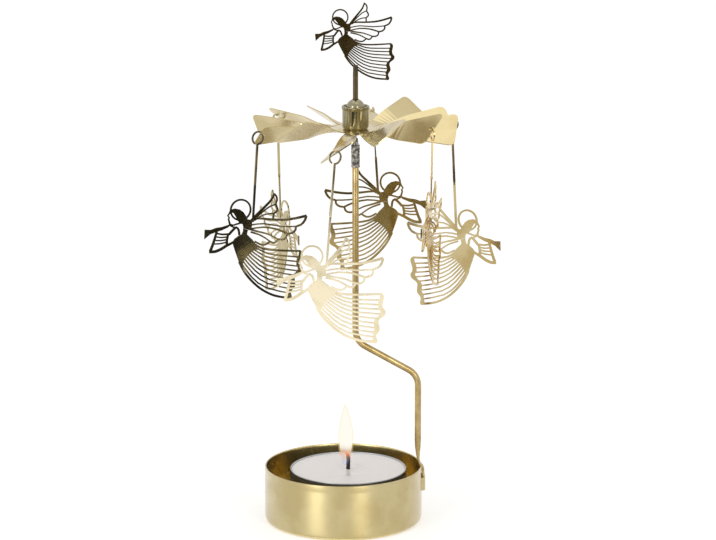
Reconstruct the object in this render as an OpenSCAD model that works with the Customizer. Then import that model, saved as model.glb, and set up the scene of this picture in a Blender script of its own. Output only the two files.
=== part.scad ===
// Candle carousel: a tealight cup with a bent wire stand, a twelve-blade fan that turns on a needle,
// six stamped angels that hang from the fan and a smaller angel on top.
// Millimetres, +Z up. The origin is the centre of the cup's underside and +X points at the stand's foot.

/* [Cup] */
// Outer diameter of the cup
cup_d = 51.5; // [46:0.5:60]
// Height of the cup's rim above the table
cup_h = 18.5; // [16:0.5:24]
// Sheet thickness of the cup
cup_wall = 0.5; // [0.4:0.05:0.8]
// Outer radius of the cup's bottom edge
cup_edge_r = 2; // [1:0.1:3]
// Height of the pressed strap that holds the stand's tang
strap_h = 4.3; // [4:0.1:7]
// Height of the strap's lower edge above the table
strap_z = 10.4; // [7:0.1:11]

/* [Tealight] */
// Outer diameter of the tealight
tealight_d = 38; // [36:0.5:39]
// Height of the tealight's metal cup
tealight_h = 17; // [12:0.5:20]
// Sheet thickness of the tealight's cup
tealight_wall = 0.3; // [0.2:0.05:0.5]
// Depth of the wax below the tealight's rim
wax_drop = 0.5; // [0.2:0.1:2]
// Distance of the tealight from the middle of the cup
tealight_x = 1.6; // [0:0.1:3]
// Diameter of the wick
wick_d = 1.3; // [1:0.1:2]
// Length of the wick above the wax
wick_out = 6; // [4:0.1:6]
// Diameter of the wick's steel foot
sustainer_d = 12; // [8:0.5:16]

/* [Stand] */
// Diameter of the stand's wire
wire_d = 2.1; // [1.6:0.1:2.6]
// Radius of the wire's bends, to the wire's axis
bend_r = 6; // [4:0.5:8]
// Distance of the mast from the middle of the cup
mast_x = 4; // [0:0.5:8]
// Height at which the mast's line meets the sloping run
mast_foot_z = 60.3; // [56:0.5:70]
// Height at which the sloping run meets the upright
upright_top_z = 48.9; // [42:0.5:52]
// Height of the mast's top end
mast_top_z = 121.5; // [115:0.5:130]
// Width of the flattened tang
tang_w = 3; // [2.4:0.1:4]
// Thickness of the flattened tang
tang_t = 0.85; // [0.6:0.05:1.2]

/* [Pivot] */
// Outer diameter of the needle's sleeve
sleeve_d = 2.9; // [2.7:0.1:3.6]
// Length of the sleeve below the mast's top end
sleeve_lap = 3.5; // [2:0.1:6]
// Length of the sleeve above the mast's top end
sleeve_rise = 3.8; // [3:0.1:6]
// Height of the cone on top of the sleeve
sleeve_cone_h = 2.2; // [1:0.1:3]
// Diameter of the pivot needle
needle_d = 0.9; // [0.7:0.1:1.2]
// Height of the needle's point above the mast's top end
needle_rise = 14.8; // [14:0.1:18]
// Length of the needle's point
needle_point = 1.3; // [0.8:0.1:2]

/* [Hub] */
// Outer diameter of the hub
hub_d = 8.6; // [8:0.1:11]
// Height of the hub
hub_h = 7.55; // [7:0.05:10]
// Wall of the hub
hub_wall = 1; // [0.8:0.1:1.4]
// Height of the rim around the dome
hub_rim_h = 0.5; // [0.2:0.1:1]
// Thickness of the hub's top
hub_top_t = 1; // [0.8:0.1:1.6]
// Diameter of the dome
dome_d = 6.1; // [5:0.1:6.6]
// Height of the dome
dome_h = 2.7; // [1.5:0.1:3]
// Height of the bearing cup inside the hub
bearing_h = 2; // [1.6:0.1:3]
// Thickness of the flange under the fan
flange_t = 1.2; // [0.6:0.1:2]

/* [Fan] */
// Number of blades, twice the number of hung angels
blade_count = 12; // [12]
// Radius of the fan to the blades' tips
fan_r = 32.8; // [30:0.1:36]
// Sheet thickness of the fan
fan_t = 0.35; // [0.3:0.05:0.5]
// Radius of the fan's flat centre
fan_core_r = 6.6; // [6:0.1:8]
// Width of a blade at its tip
blade_tip_w = 14.4; // [12:0.1:15]
// Width of a blade at its root
blade_root_w = 2.7; // [2:0.1:3]
// Pitch of the blades
blade_pitch = 35; // [25:1:42]
// Radius of the blades' rounded corners
blade_corner_r = 2.2; // [1:0.1:3]
// Diameter of the hole that a hung angel's ring goes through
hook_hole_d = 1.5; // [1.5:0.05:1.8]
// Distance of that hole's middle from the blade's tip
hook_inset = 1.35; // [1.3:0.05:1.5]

/* [Angels] */
// Sheet thickness of the angels
plate_t = 0.4; // [0.3:0.05:0.5]
// Thinnest line of the fretwork
line_w = 0.45; // [0.4:0.05:0.6]
// Number of ribs in the skirt
rib_count = 9; // [6:1:11]
// Length of a short stem from the ring's middle to the shoulder
short_stem = 27.2; // [22:0.1:30]
// Length of a long stem from the ring's middle to the shoulder
long_stem = 35.4; // [30:0.1:38]
// Width of a stem
stem_w = 0.75; // [0.6:0.05:1]
// Mean radius of a hanging ring
ring_r = 2.03; // [2:0.01:2.2]
// Width of a hanging ring's line
ring_w = 0.55; // [0.4:0.05:0.6]
// Size of the hung angels next to their drawn outline
hung_scale = 1.05; // [0.9:0.01:1.1]
// How far the weight of an untilted angel lies beside its shoulder
balance_x = 2.95; // [1:0.05:4]
// How far the weight of an untilted angel lies below its shoulder
balance_z = 7.4; // [4:0.05:9]
// Size of the top angel next to the hung ones
topper_scale = 0.77; // [0.6:0.01:1]
// Diameter of the top angel's stem
topper_stem_d = 1.7; // [1.2:0.1:2]
// Length of the top angel's stem above the dome
topper_stem_h = 9.9; // [8:0.1:16]

/* [Hidden] */
$fn = 48;

// Clearance between a piece and what it is set into
fit = 0.02;
// Clearance of the turning pivot
run = 0.05;
// Overlap that joins two shapes of one piece
lap = 0.01;

cup_r = cup_d / 2;
cup_in_r = cup_r - cup_wall;
tang_x = cup_r + 0.05;
strap_x = tang_x + tang_t + 0.05;
strap_t = cup_wall;
strap_side = 1.5;
upright_x = cup_r - wire_d / 2 - 0.3;
notch_drop = 1;
crank_t = 1.4;

tealight_z = cup_wall;
wax_z = tealight_z + tealight_wall;
wax_h = tealight_h - tealight_wall - wax_drop;
wax_r = tealight_d / 2 - tealight_wall - fit;
wick_bend = wick_out * 0.6;
wick_foot_t = 0.3;
wick_foot_neck_d = wick_d + 1;
wick_foot_neck_h = 2.4;

slope = atan2(mast_foot_z - upright_top_z, upright_x - mast_x);
slope_len = norm([mast_foot_z - upright_top_z, upright_x - mast_x]);
bend_turn = 90 - slope;
bend_cut = bend_r * tan(bend_turn / 2);

sleeve_z = mast_top_z - sleeve_lap;
sleeve_top = mast_top_z + sleeve_rise;
needle_z = mast_top_z + 0.1;
needle_tip = mast_top_z + needle_rise;

hub_r = hub_d / 2;
hub_bore_r = hub_r - hub_wall;
dimple_gap = run;
bearing_top = needle_tip + dimple_gap + 0.25;
hub_top = bearing_top + hub_top_t + hub_rim_h;
fan_top = hub_top - hub_h;
fan_z = fan_top - fan_t;
fan_mid = fan_z + fan_t / 2;
dome_z = hub_top - hub_rim_h;
stem_socket = 0.6;

topper_z = dome_z + dome_h;
// How far the top angel's outline dips into its slot below the point on which it stands
topper_dip = 1.3;
topper_foot = topper_z + topper_stem_h - topper_dip;
topper_slot = 1 + topper_dip;
// The point of the angel's outline that stands on the stem
topper_seat = [1.2, -15.0];
topper_at = topper_seat * topper_scale;

hook_r = fan_r - hook_inset;
// Distance between the two places where a ring crosses its blade's plane, and that line's height in the ring
hook_span = 1.75 * ring_r;
ring_depth = sqrt(ring_r * ring_r - hook_span * hook_span / 4);
shoulder = [-0.7, 3.4];
// Angles of the blades that carry the hung angels, seen from above and turning from -Y towards +X
hang_angles = [-70, -10, 50, 110, 170, 230];
// How far each blade is bent up, in degrees, from the blade of the first hung angel on
blade_bends = [0, 8, -3, 10, 9, 2, 1, 4, 0, -3, 0, 1.5];

// Directions seen from above, from the side that faces -Y and turning towards +X
function out_dir(a) = [sin(a), -cos(a), 0];
function along_dir(a) = [cos(a), sin(a), 0];

// Place of a ring's middle for a blade at angle a and a ring that is turned by y from the blade's line
function bend_at(a) = blade_bends[(a - hang_angles[0]) * blade_count / 360];
function hook_point(a) =
    [mast_x, 0, fan_mid + (hook_r - fan_core_r) * sin(bend_at(a))]
    + (fan_core_r + (hook_r - fan_core_r) * cos(bend_at(a))) * out_dir(a);
function ring_rise(a, y) = sin(y) * tan(blade_pitch) / cos(bend_at(a)) + cos(y) * tan(bend_at(a));
function ring_mid(a, y) =
    let (rise = ring_rise(a, y), n = norm([1, rise]))
    hook_point(a)
    + (hook_span / 2 / n) * (out_dir(a + y) + [0, 0, rise])
    + (ring_depth / n) * (rise * out_dir(a + y) - [0, 0, 1]);

// A smooth curve through points, with n steps between each two
function at(p, i) = p[max(0, min(len(p) - 1, i))];
function mix4(a, b, c, d, t) =
    0.5 * (2 * b + (c - a) * t + (2 * a - 5 * b + 4 * c - d) * t * t + (3 * b - a - 3 * c + d) * t * t * t);
function smooth(p, n) = concat(
    [for (i = [0 : len(p) - 2]) for (k = [0 : n - 1])
        mix4(at(p, i - 1), p[i], p[i + 1], at(p, i + 2), k / n)],
    [p[len(p) - 1]]);
function side(p, i, w) =
    let (d = at(p, i + 1) - at(p, i - 1), q = d / norm(d))
    p[i] + [-q[1], q[0]] * w / 2;

// A line of the fretwork from its middle points, w0 wide at its start and w1 at its end
module pen(pts, w0, w1, n = 2) {
    p = smooth(pts, n);
    m = len(p) - 1;
    polygon(concat(
        [for (i = [0 : m]) side(p, i, w0 + (w1 - w0) * i / m)],
        [for (i = [m : -1 : 0]) side(p, i, -(w0 + (w1 - w0) * i / m))]));
}

// Outlines of the angel in its own plane, with the horn to the left
hair = [
    [-8.4, 6.2], [-6.9, 6.7], [-5.3, 6.5], [-4.1, 5.8], [-3.3, 4.9], [-2.5, 3.9],
    [-2.6, 2.5], [-3.6, 2.0], [-4.7, 2.2], [-5.5, 2.9], [-6.3, 4.1], [-7.2, 5.2], [-8.3, 5.5]
];
torso = [
    [-3.3, 3.6], [-1.7, 3.7], [-0.9, 3.0], [-0.8, 1.4], [-1.0, 0.4], [-1.9, 0.3], [-2.0, -0.9],
    [-1.1, -1.6], [0.0, -2.4], [1.0, -3.4], [2.2, -4.5], [2.6, -5.3], [0.9, -5.7], [-0.1, -6.7],
    [-0.9, -7.7], [-1.6, -8.7], [-2.0, -9.9], [-1.7, -11.0], [-2.6, -11.0], [-3.8, -8.8],
    [-4.9, -6.7], [-5.8, -4.9], [-6.3, -3.7], [-5.7, -2.6], [-4.7, -1.7], [-3.7, -1.1], [-3.4, -0.2],
    [-3.5, 1.2], [-4.0, 2.4]
];
horn = [
    [-7.8, 1.7], [-10.2, 0.7], [-12.2, 0.2], [-13.6, -0.5], [-15.6, -0.6],
    [-15.3, -3.6], [-13.6, -1.9], [-12.0, -1.1], [-10.2, -0.4], [-8.1, 0.8]
];
hem = [
    [15.4, -4.4], [16.4, -4.7], [16.8, -5.8], [16.4, -7.8], [16.6, -9.0], [17.4, -10.0], [17.1, -11.3],
    [15.7, -12.4], [15.3, -13.4], [15.7, -14.8], [15.7, -16.0], [14.9, -17.2], [14.8, -18.0], [15.2, -19.0],
    [15.0, -19.9], [14.0, -19.9], [13.7, -19.0], [13.9, -17.8], [13.6, -16.8], [14.3, -15.5], [13.9, -14.0],
    [14.2, -12.7], [15.4, -11.4], [15.9, -10.2], [15.2, -9.1], [15.1, -7.4], [15.5, -5.9]
];

function blend(a, b, t) = a + (b - a) * t;

module head_lines() {
    translate([-5.1, 6.4]) difference() {
        circle(r = 3.45, $fn = 32);
        circle(r = 3.45 - line_w * 1.3, $fn = 28);
    }
    polygon(hair);
    // Brow, nose, lips and chin
    pen([[-8.3, 5.8], [-8.5, 5.0], [-8.9, 4.2], [-8.4, 3.8], [-8.5, 3.1], [-8.2, 2.5], [-7.9, 1.7]], 0.45, 0.6, 1);
    // Jaw and throat
    pen([[-8.0, 1.9], [-6.9, 1.5], [-5.8, 1.9], [-4.5, 2.4]], 0.45, 0.55);
}

module arm_lines() {
    polygon(horn);
    // Upper arm and its lower line
    pen([[-4.4, -1.4], [-4.8, 0.1], [-5.7, 0.9], [-6.8, -0.2], [-7.7, -1.5]], 0.7, 0.8);
    pen([[-5.8, -3.6], [-6.7, -4.2], [-7.6, -4.8]], 0.7, 0.8);
    pen([[-7.9, 1.4], [-6.9, 1.0], [-5.6, 0.8]], 0.5, 0.5);
    // Open sleeve with its folds
    pen([[-11.7, -0.8], [-12.0, -3.0], [-12.4, -5.2], [-12.9, -7.2]], 0.7, 0.9);
    pen([[-13.2, -7.3], [-11.4, -7.1], [-9.6, -6.2], [-8.3, -5.2], [-7.5, -4.6]], 0.9, 0.9);
    pen([[-7.8, -5.0], [-8.1, -3.2], [-7.9, -1.2]], 0.8, 0.7);
    pen([[-11.9, -1.4], [-9.8, -1.6], [-7.7, -1.3]], 0.55, 0.6);
    for (k = [0 : 2])
        pen([[-12.0 - 0.2 * k, -2.5 - 1.15 * k], [-10.0, -2.6 - 0.95 * k], [-7.9, -2.2 - 0.8 * k]], line_w, line_w);
}

module rear_wing_lines() {
    pen([[-1.3, 3.2], [0.4, 5.5], [2.6, 8.2], [4.1, 10.2], [4.9, 12.4]], 0.9, 0.6);
    pen([[4.7, 12.3], [5.6, 11.6], [6.0, 10.4], [5.8, 9.0], [6.5, 7.8], [6.4, 6.9], [5.6, 6.1], [5.7, 4.3]], 0.6, 0.6);
    pen([[-0.6, 3.6], [1.8, 6.2], [4.0, 8.2], [5.9, 9.1]], line_w, line_w);
    pen([[-0.2, 3.5], [1.6, 5.0], [3.6, 5.9], [5.7, 6.2]], line_w, line_w);
}

module front_wing_lines() {
    pen([[-1.2, 3.0], [0.4, 4.2], [4.5, 4.3], [9.0, 4.5], [12.8, 5.3], [16.2, 6.4]], 0.6, 0.8);
    pen([[16.1, 6.3], [15.9, 5.0], [14.9, 3.5], [13.3, 2.8]], 0.8, 0.6);
    pen([[-0.9, 2.1], [3.0, 2.8], [8.6, 2.4], [13.4, 2.8]], line_w, line_w);
    pen([[13.2, 2.9], [13.3, 1.7], [12.4, 0.7], [10.9, 0.3]], 0.7, 0.6);
    pen([[-0.9, 0.9], [3.0, 1.7], [7.4, 1.4], [10.9, 0.3]], line_w, 0.65);
    pen([[10.8, 0.4], [10.6, -0.9], [9.6, -1.6], [8.2, -1.6]], 0.65, 0.6);
    pen([[-1.2, 0.7], [1.4, 0.2], [4.6, -0.3], [8.2, -1.6]], 0.65, line_w);
    pen([[8.2, -1.5], [7.5, -2.6], [6.6, -2.9], [5.7, -2.5]], 0.6, 0.6);
    pen([[-0.9, -0.1], [1.8, -0.7], [3.8, -1.5], [5.8, -2.6]], 0.6, line_w);
    pen([[5.7, -2.5], [4.4, -3.6], [2.8, -3.7], [0.8, -2.9]], 0.6, 0.6);
}

module skirt_lines() {
    polygon(smooth(concat(hem, [hem[0]]), 2));
    pen([[1.2, -3.9], [3.6, -4.9], [8.5, -5.1], [15.8, -4.7]], 0.7, 0.6);
    pen([[-3.2, -9.6], [-1.2, -12.5], [1.6, -15.2], [5.2, -17.6], [9.6, -19.2], [14.6, -19.6]], 0.8, 0.7, 3);
    for (k = [0 : rib_count - 1])
        let (t = k / (rib_count - 1))
        pen([
            blend([0.9, -4.6], [-3.2, -9.2], t),
            blend([5.4, -6.3], [1.3, -13.9], t),
            blend([9.8, -6.6], [6.4, -16.9], t),
            [t < 0.44 ? 15.9 : t < 0.55 ? 15.2 : 14.5, -6.6 - 11.5 * t]
        ], 0.55, line_w);
}

module angel_outline() {
    // Growing and shrinking by the same amount closes the pinholes where lines cross
    offset(delta = -0.06) offset(delta = 0.06) {
        polygon(torso);
        head_lines();
        arm_lines();
        rear_wing_lines();
        front_wing_lines();
        skirt_lines();
    }
}

// The angel as a sheet that stands up in the XZ plane
module angel_sheet(t, size) {
    rotate([90, 0, 0]) linear_extrude(height = t, center = true) scale(size) angel_outline();
}

module strip(w, t, z0, z1) {
    translate([-w / 2, -t / 2, z0]) cube([w, t, z1 - z0]);
}

// A hung angel: its blade's angle, its ring's turn, its sheet's turn and tilt, its stem and its side
module hung_angel(a, ring_turn, plate_turn, tilt, stem, flip) {
    s = flip ? -1 : 1;
    twist_z = -stem * 0.55;
    // The lean that brings the angel's weight below its ring
    weight_x = balance_x * cos(tilt) - balance_z * sin(tilt);
    weight_z = balance_x * sin(tilt) + balance_z * cos(tilt);
    hang_lean = asin(weight_x / (stem + weight_z));
    translate(ring_mid(a, ring_turn)) {
        rotate([0, 0, a + ring_turn - 90]) rotate([90, 0, 0]) difference() {
            cylinder(r = ring_r + ring_w / 2, h = plate_t, center = true);
            cylinder(r = ring_r - ring_w / 2, h = plate_t + 1, center = true);
            rotate([0, 0, -68]) translate([0, -0.42, -plate_t]) cube([ring_r * 2, 0.84, plate_t * 2]);
        }
        rotate([0, 0, s * plate_turn]) rotate([0, s * hang_lean, 0]) {
            rotate([0, 0, a + ring_turn - 90 - s * plate_turn])
                strip(stem_w, plate_t, twist_z, -ring_r + 0.1);
            translate([0, 0, twist_z - 0.4]) cylinder(d = norm([stem_w, plate_t]), h = 0.8);
            strip(stem_w, plate_t, -stem, twist_z);
            translate([0, 0, 0.4 - stem]) rotate([0, s * tilt, 0])
                translate([-s * shoulder[0] * hung_scale, 0, -shoulder[1] * hung_scale])
                mirror([flip ? 1 : 0, 0, 0]) angel_sheet(plate_t, hung_scale);
        }
    }
}

// Half section of a drawn cup with a rounded bottom edge
module cup_half(r, h, e) {
    translate([0, e]) square([r, h - e]);
    square([r - e, e + lap]);
    translate([r - e, e]) circle(r = e);
}

module cup() color([0.82, 0.73, 0.52]) {
    difference() {
        union() {
            rotate_extrude() difference() {
                intersection() {
                    cup_half(cup_r, cup_h, cup_edge_r);
                    square([cup_r + 1, cup_h]);
                }
                translate([0, cup_wall]) intersection() {
                    cup_half(cup_in_r, cup_h, cup_edge_r - cup_wall);
                    square([cup_r + 1, cup_h]);
                }
            }
            // Pressed strap that the tang slides into
            intersection() {
                difference() {
                    translate([cup_r - cup_wall / 2, -tang_w / 2 - strap_side, strap_z])
                        cube([strap_x + strap_t - cup_r + cup_wall / 2, tang_w + 2 * strap_side, strap_h]);
                    translate([cup_r - lap, -tang_w / 2 - 0.1, strap_z - 1])
                        cube([strap_x - cup_r + lap, tang_w + 0.2, strap_h + 2]);
                }
                translate([strap_x + strap_t - 6, 0, strap_z - 0.5]) cylinder(r = 6, h = strap_h + 1);
            }
        }
        // Notch in the rim for the tang's crank
        translate([cup_in_r - 1, -tang_w / 2 - 0.1, cup_h - notch_drop])
            cube([cup_wall + 3, tang_w + 0.2, notch_drop + 1]);
    }
}

module tealight_cup() color([0.72, 0.72, 0.73]) translate([tealight_x, 0, tealight_z]) difference() {
    cylinder(d = tealight_d, h = tealight_h);
    translate([0, 0, tealight_wall]) cylinder(d = tealight_d - 2 * tealight_wall, h = tealight_h);
}

module wick_foot_solid(gap) {
    cylinder(d = sustainer_d + 2 * gap, h = wick_foot_t + gap);
    cylinder(d = wick_foot_neck_d + 2 * gap, h = wick_foot_neck_h + gap);
}

module wick_foot() color([0.6, 0.6, 0.62]) translate([tealight_x, 0, wax_z]) difference() {
    wick_foot_solid(0);
    translate([0, 0, -1]) cylinder(d = wick_d + 2 * fit, h = wick_foot_neck_h + 2);
}

module wax() color([0.95, 0.95, 0.93]) translate([tealight_x, 0, wax_z]) difference() {
    cylinder(r = wax_r, h = wax_h);
    translate([0, 0, -lap]) wick_foot_solid(fit);
    translate([0, 0, -1]) cylinder(d = wick_d + 2 * fit, h = wax_h + 2);
}

module wick() color([0.12, 0.11, 0.1]) translate([tealight_x, 0, wax_z]) {
    translate([0, 0, fit]) cylinder(d = wick_d, h = wax_h + wick_out * 0.6 - fit);
    translate([-wick_bend, 0, wax_h + wick_out * 0.6]) rotate([90, 0, 0])
        rotate_extrude(angle = 36) translate([wick_bend, 0]) circle(d = wick_d);
}

module wire_bend(turn) {
    rotate_extrude(angle = turn) translate([bend_r, 0]) circle(d = wire_d);
}

// The wire swells a little where a straight run meets a bend
module wire_knot() {
    sphere(d = wire_d + 0.06);
}

module stand_wire() color([0.8, 0.68, 0.42]) {
    translate([mast_x, 0, mast_foot_z + bend_cut]) wire_knot();
    translate([upright_x, 0, upright_top_z - bend_cut]) wire_knot();
    for (d = [bend_cut, slope_len - bend_cut])
        translate([mast_x + d * cos(slope), 0, mast_foot_z - d * sin(slope)]) wire_knot();
    // Mast
    translate([mast_x, 0, mast_foot_z + bend_cut])
        cylinder(d = wire_d, h = mast_top_z - mast_foot_z - bend_cut);
    translate([mast_x + bend_r, 0, mast_foot_z + bend_cut]) rotate([90, 0, 0]) rotate([0, 0, 180])
        wire_bend(bend_turn);
    // Sloping run
    translate([mast_x, 0, mast_foot_z]) rotate([0, 90 + slope, 0]) translate([0, 0, bend_cut])
        cylinder(d = wire_d, h = slope_len - 2 * bend_cut);
    // Upright
    translate([upright_x - bend_r, 0, upright_top_z - bend_cut]) rotate([90, 0, 0])
        wire_bend(bend_turn);
    translate([upright_x, 0, cup_h + crank_t - notch_drop - 0.1])
        cylinder(d = wire_d, h = upright_top_z - bend_cut - cup_h - crank_t + notch_drop + 0.1);
    // Crank through the notch, and the tang outside the wall
    translate([upright_x - wire_d / 2, -tang_w / 2, cup_h - notch_drop + 0.05])
        cube([tang_x + tang_t - upright_x + wire_d / 2, tang_w, crank_t - 0.05]);
    translate([tang_x, -tang_w / 2, strap_z - 0.4])
        cube([tang_t, tang_w, cup_h - notch_drop + crank_t - strap_z + 0.4]);
}

module needle_sleeve() color([0.55, 0.55, 0.55]) translate([mast_x, 0, 0]) difference() {
    union() {
        translate([0, 0, sleeve_z]) cylinder(d = sleeve_d, h = sleeve_lap + sleeve_rise);
        translate([0, 0, sleeve_top]) cylinder(d1 = sleeve_d * 0.72, d2 = needle_d + 0.5, h = sleeve_cone_h);
    }
    translate([0, 0, sleeve_z - 1]) cylinder(d = wire_d + 2 * fit, h = sleeve_lap + 1 + fit);
    translate([0, 0, mast_top_z - 1]) cylinder(d = needle_d + 2 * fit, h = sleeve_rise + sleeve_cone_h + 2);
}

module pivot_needle() color([0.7, 0.7, 0.72]) translate([mast_x, 0, 0]) {
    translate([0, 0, needle_z]) cylinder(d = needle_d, h = needle_tip - needle_point - needle_z);
    translate([0, 0, needle_tip - needle_point]) cylinder(d1 = needle_d, d2 = 0.2, h = needle_point);
}

module hub_shell() color([0.78, 0.62, 0.3]) translate([mast_x, 0, 0]) difference() {
    union() {
        translate([0, 0, fan_top + 0.8]) cylinder(r = hub_r, h = hub_h - 0.8);
        translate([0, 0, fan_top]) cylinder(r1 = hub_r - 0.5, r2 = hub_r, h = 0.8 + lap);
    }
    translate([0, 0, fan_top - 1]) cylinder(r = hub_bore_r, h = bearing_top - fan_top + 1);
    translate([0, 0, dome_z]) cylinder(r = hub_r - 0.45, h = 2);
    translate([0, 0, dome_z - stem_socket]) cylinder(d = topper_stem_d + 2 * fit, h = 3);
}

module hub_dome() color([0.8, 0.64, 0.32]) translate([mast_x, 0, dome_z]) difference() {
    intersection() {
        translate([0, 0, dome_h - dome_ball_r()]) sphere(r = dome_ball_r());
        cylinder(d = dome_d, h = dome_h + 1);
    }
    translate([0, 0, -1]) cylinder(d = topper_stem_d + 2 * fit, h = dome_h + 2);
}

function dome_ball_r() = (dome_h * dome_h + dome_d * dome_d / 4) / (2 * dome_h);

module bearing_cup() color([0.7, 0.55, 0.28]) translate([mast_x, 0, 0]) difference() {
    translate([0, 0, bearing_top - bearing_h]) cylinder(r = hub_bore_r - fit, h = bearing_h - fit);
    translate([0, 0, needle_tip + dimple_gap - bearing_h])
        cylinder(d1 = 3.6, d2 = 0.2 + 2 * run, h = bearing_h);
    translate([0, 0, bearing_top - bearing_h - 1]) cylinder(d = 3.2, h = 1.3);
}

module fan_rivet() color([0.74, 0.6, 0.3]) translate([mast_x, 0, 0]) difference() {
    union() {
        translate([0, 0, fan_z - flange_t]) cylinder(r = hub_r - 0.7, h = flange_t);
        translate([0, 0, fan_z - flange_t]) cylinder(r = hub_bore_r - fit, h = flange_t + fan_t + 1.4);
    }
    translate([0, 0, fan_z - flange_t - 1]) cylinder(d = 3.6, h = flange_t + fan_t + 4);
}

// Half width, turn and section of a blade at a distance from the axis
blade_in = fan_core_r - 1.6;
function blade_half(r) =
    let (w = blade_root_w / 2 + (blade_tip_w - blade_root_w) / 2 * (r - blade_in) / (fan_r - blade_in),
         over = max(0, r - (fan_r - blade_corner_r)))
    w - blade_corner_r + sqrt(blade_corner_r * blade_corner_r - over * over);
function ease(t) = let (u = max(0, min(1, t))) u * u * (3 - 2 * u);
function blade_turn(r) = blade_pitch * ease((r - fan_core_r) / (fan_r * 0.42));
blade_stops = concat(
    [blade_in, fan_core_r],
    [for (k = [1 : 8]) fan_core_r + k * fan_r * 0.42 / 8],
    [for (k = [0 : 4]) fan_r - blade_corner_r * (1 - sin(k * 22.4))]);
function blade_ring(r, bend) =
    let (h = blade_half(r), q = blade_turn(r), t = fan_t / 2, b = r < fan_core_r ? 0 : bend, d = r - fan_core_r)
    [for (c = [[-h, -t], [h, -t], [h, t], [-h, t]])
        let (up = c[0] * sin(q) + c[1] * cos(q))
        [c[0] * cos(q) - c[1] * sin(q), up * sin(b) - d * cos(b) - fan_core_r, up * cos(b) + d * sin(b)]];

module blade(bend) {
    n = len(blade_stops);
    polyhedron(
        points = [for (r = blade_stops) for (p = blade_ring(r, bend)) p],
        faces = concat(
            [[1, 2, 3], [0, 1, 3]],
            [for (i = [0 : n - 2]) for (k = [0 : 3]) [4 * i + 4 + (k + 1) % 4, 4 * i + (k + 1) % 4, 4 * i + k]],
            [for (i = [0 : n - 2]) for (k = [0 : 3]) [4 * i + 4 + k, 4 * i + 4 + (k + 1) % 4, 4 * i + k]],
            [[4 * n - 2, 4 * n - 3, 4 * n - 4], [4 * n - 1, 4 * n - 2, 4 * n - 4]]));
}

module fan() color([0.8, 0.72, 0.5]) translate([mast_x, 0, fan_mid]) difference() {
    union() {
        cylinder(r = fan_core_r, h = fan_t, center = true);
        for (k = [0 : blade_count - 1])
            rotate([0, 0, hang_angles[0] + k * 360 / blade_count]) blade(blade_bends[k]);
    }
    cylinder(r = hub_bore_r, h = 4, center = true);
    for (a = hang_angles) rotate([0, 0, a]) translate([0, -fan_core_r, 0]) rotate([-bend_at(a), 0, 0])
        translate([0, fan_core_r - hook_r, 0]) rotate([0, -blade_pitch, 0])
        cylinder(d = hook_hole_d, h = 3, center = true);
}

module topper_stem() color([0.3, 0.27, 0.2]) translate([mast_x, 0, 0]) difference() {
    translate([0, 0, dome_z - stem_socket + fit])
        cylinder(d = topper_stem_d, h = topper_foot + topper_slot - dome_z + stem_socket - fit);
    translate([-2, -plate_t / 2 - fit, topper_foot]) cube([4, plate_t + 2 * fit, topper_slot + 1]);
}

module topper_angel() color([0.3, 0.27, 0.2])
    translate([mast_x - topper_at[0], 0, topper_foot + topper_dip + fit - topper_at[1]])
    rotate([90, 0, 0]) linear_extrude(height = plate_t, center = true) difference() {
        scale(topper_scale) angel_outline();
        translate(topper_at - [topper_stem_d / 2 + 0.2, topper_dip + 2]) square([topper_stem_d + 0.4, 2]);
    }

module angel_a() color([0.25, 0.22, 0.16]) hung_angel(-70, 18, 19, 5, short_stem, false);
module angel_b() color([0.93, 0.88, 0.74]) hung_angel(-10, -50, 0, -3, long_stem, false);
module angel_c() color([0.8, 0.7, 0.48]) hung_angel(230, 0, 67, 4, long_stem - 2, true);
module angel_d() color([0.5, 0.4, 0.2]) hung_angel(170, 0, 11, 5, short_stem, true);
module angel_e() color([0.85, 0.62, 0.35]) hung_angel(50, -35, 78, 4, short_stem - 2, false);
module angel_f() color([0.82, 0.72, 0.5]) hung_angel(110, 0, 29, 5, long_stem, true);

cup();
tealight_cup();
wax();
wick();
wick_foot();
stand_wire();
needle_sleeve();
pivot_needle();
hub_shell();
hub_dome();
bearing_cup();
fan_rivet();
fan();
topper_stem();
topper_angel();
angel_a();
angel_b();
angel_c();
angel_d();
angel_e();
angel_f();
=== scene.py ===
"""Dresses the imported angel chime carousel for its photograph.

The sizes in the classes are millimetres, as in the part's source, and each mesh is scaled to metres when it
becomes an object. The frame is the part's own: the cup's underside is centred on the origin, the stand's foot
is at +X, and the photograph is taken from -Y.
"""

import logging
import math
from dataclasses import dataclass, field
from enum import Enum
from typing import Any, ClassVar

import bmesh
import bpy
from mathutils import Matrix, Vector


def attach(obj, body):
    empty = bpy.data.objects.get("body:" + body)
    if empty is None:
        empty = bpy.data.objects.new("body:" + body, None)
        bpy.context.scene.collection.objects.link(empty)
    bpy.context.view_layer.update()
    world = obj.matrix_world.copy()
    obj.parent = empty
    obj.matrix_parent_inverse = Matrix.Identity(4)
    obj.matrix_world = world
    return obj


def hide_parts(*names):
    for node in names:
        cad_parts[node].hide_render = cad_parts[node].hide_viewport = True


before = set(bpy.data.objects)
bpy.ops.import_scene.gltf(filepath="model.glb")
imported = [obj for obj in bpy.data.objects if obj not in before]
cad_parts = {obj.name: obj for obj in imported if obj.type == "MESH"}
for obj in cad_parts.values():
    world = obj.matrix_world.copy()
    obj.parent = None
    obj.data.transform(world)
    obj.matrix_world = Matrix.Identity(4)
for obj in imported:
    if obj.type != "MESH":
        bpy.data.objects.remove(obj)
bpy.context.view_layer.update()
LOG = logging.getLogger("carousel")

MM = 0.001
WHITE = (1.0, 1.0, 1.0, 1.0)
BLACK = (0.0, 0.0, 0.0, 1.0)
Point = tuple[float, float]
Colour = tuple[float, float, float, float]
Station = tuple[Vector, Vector, float, float, float]


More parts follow.
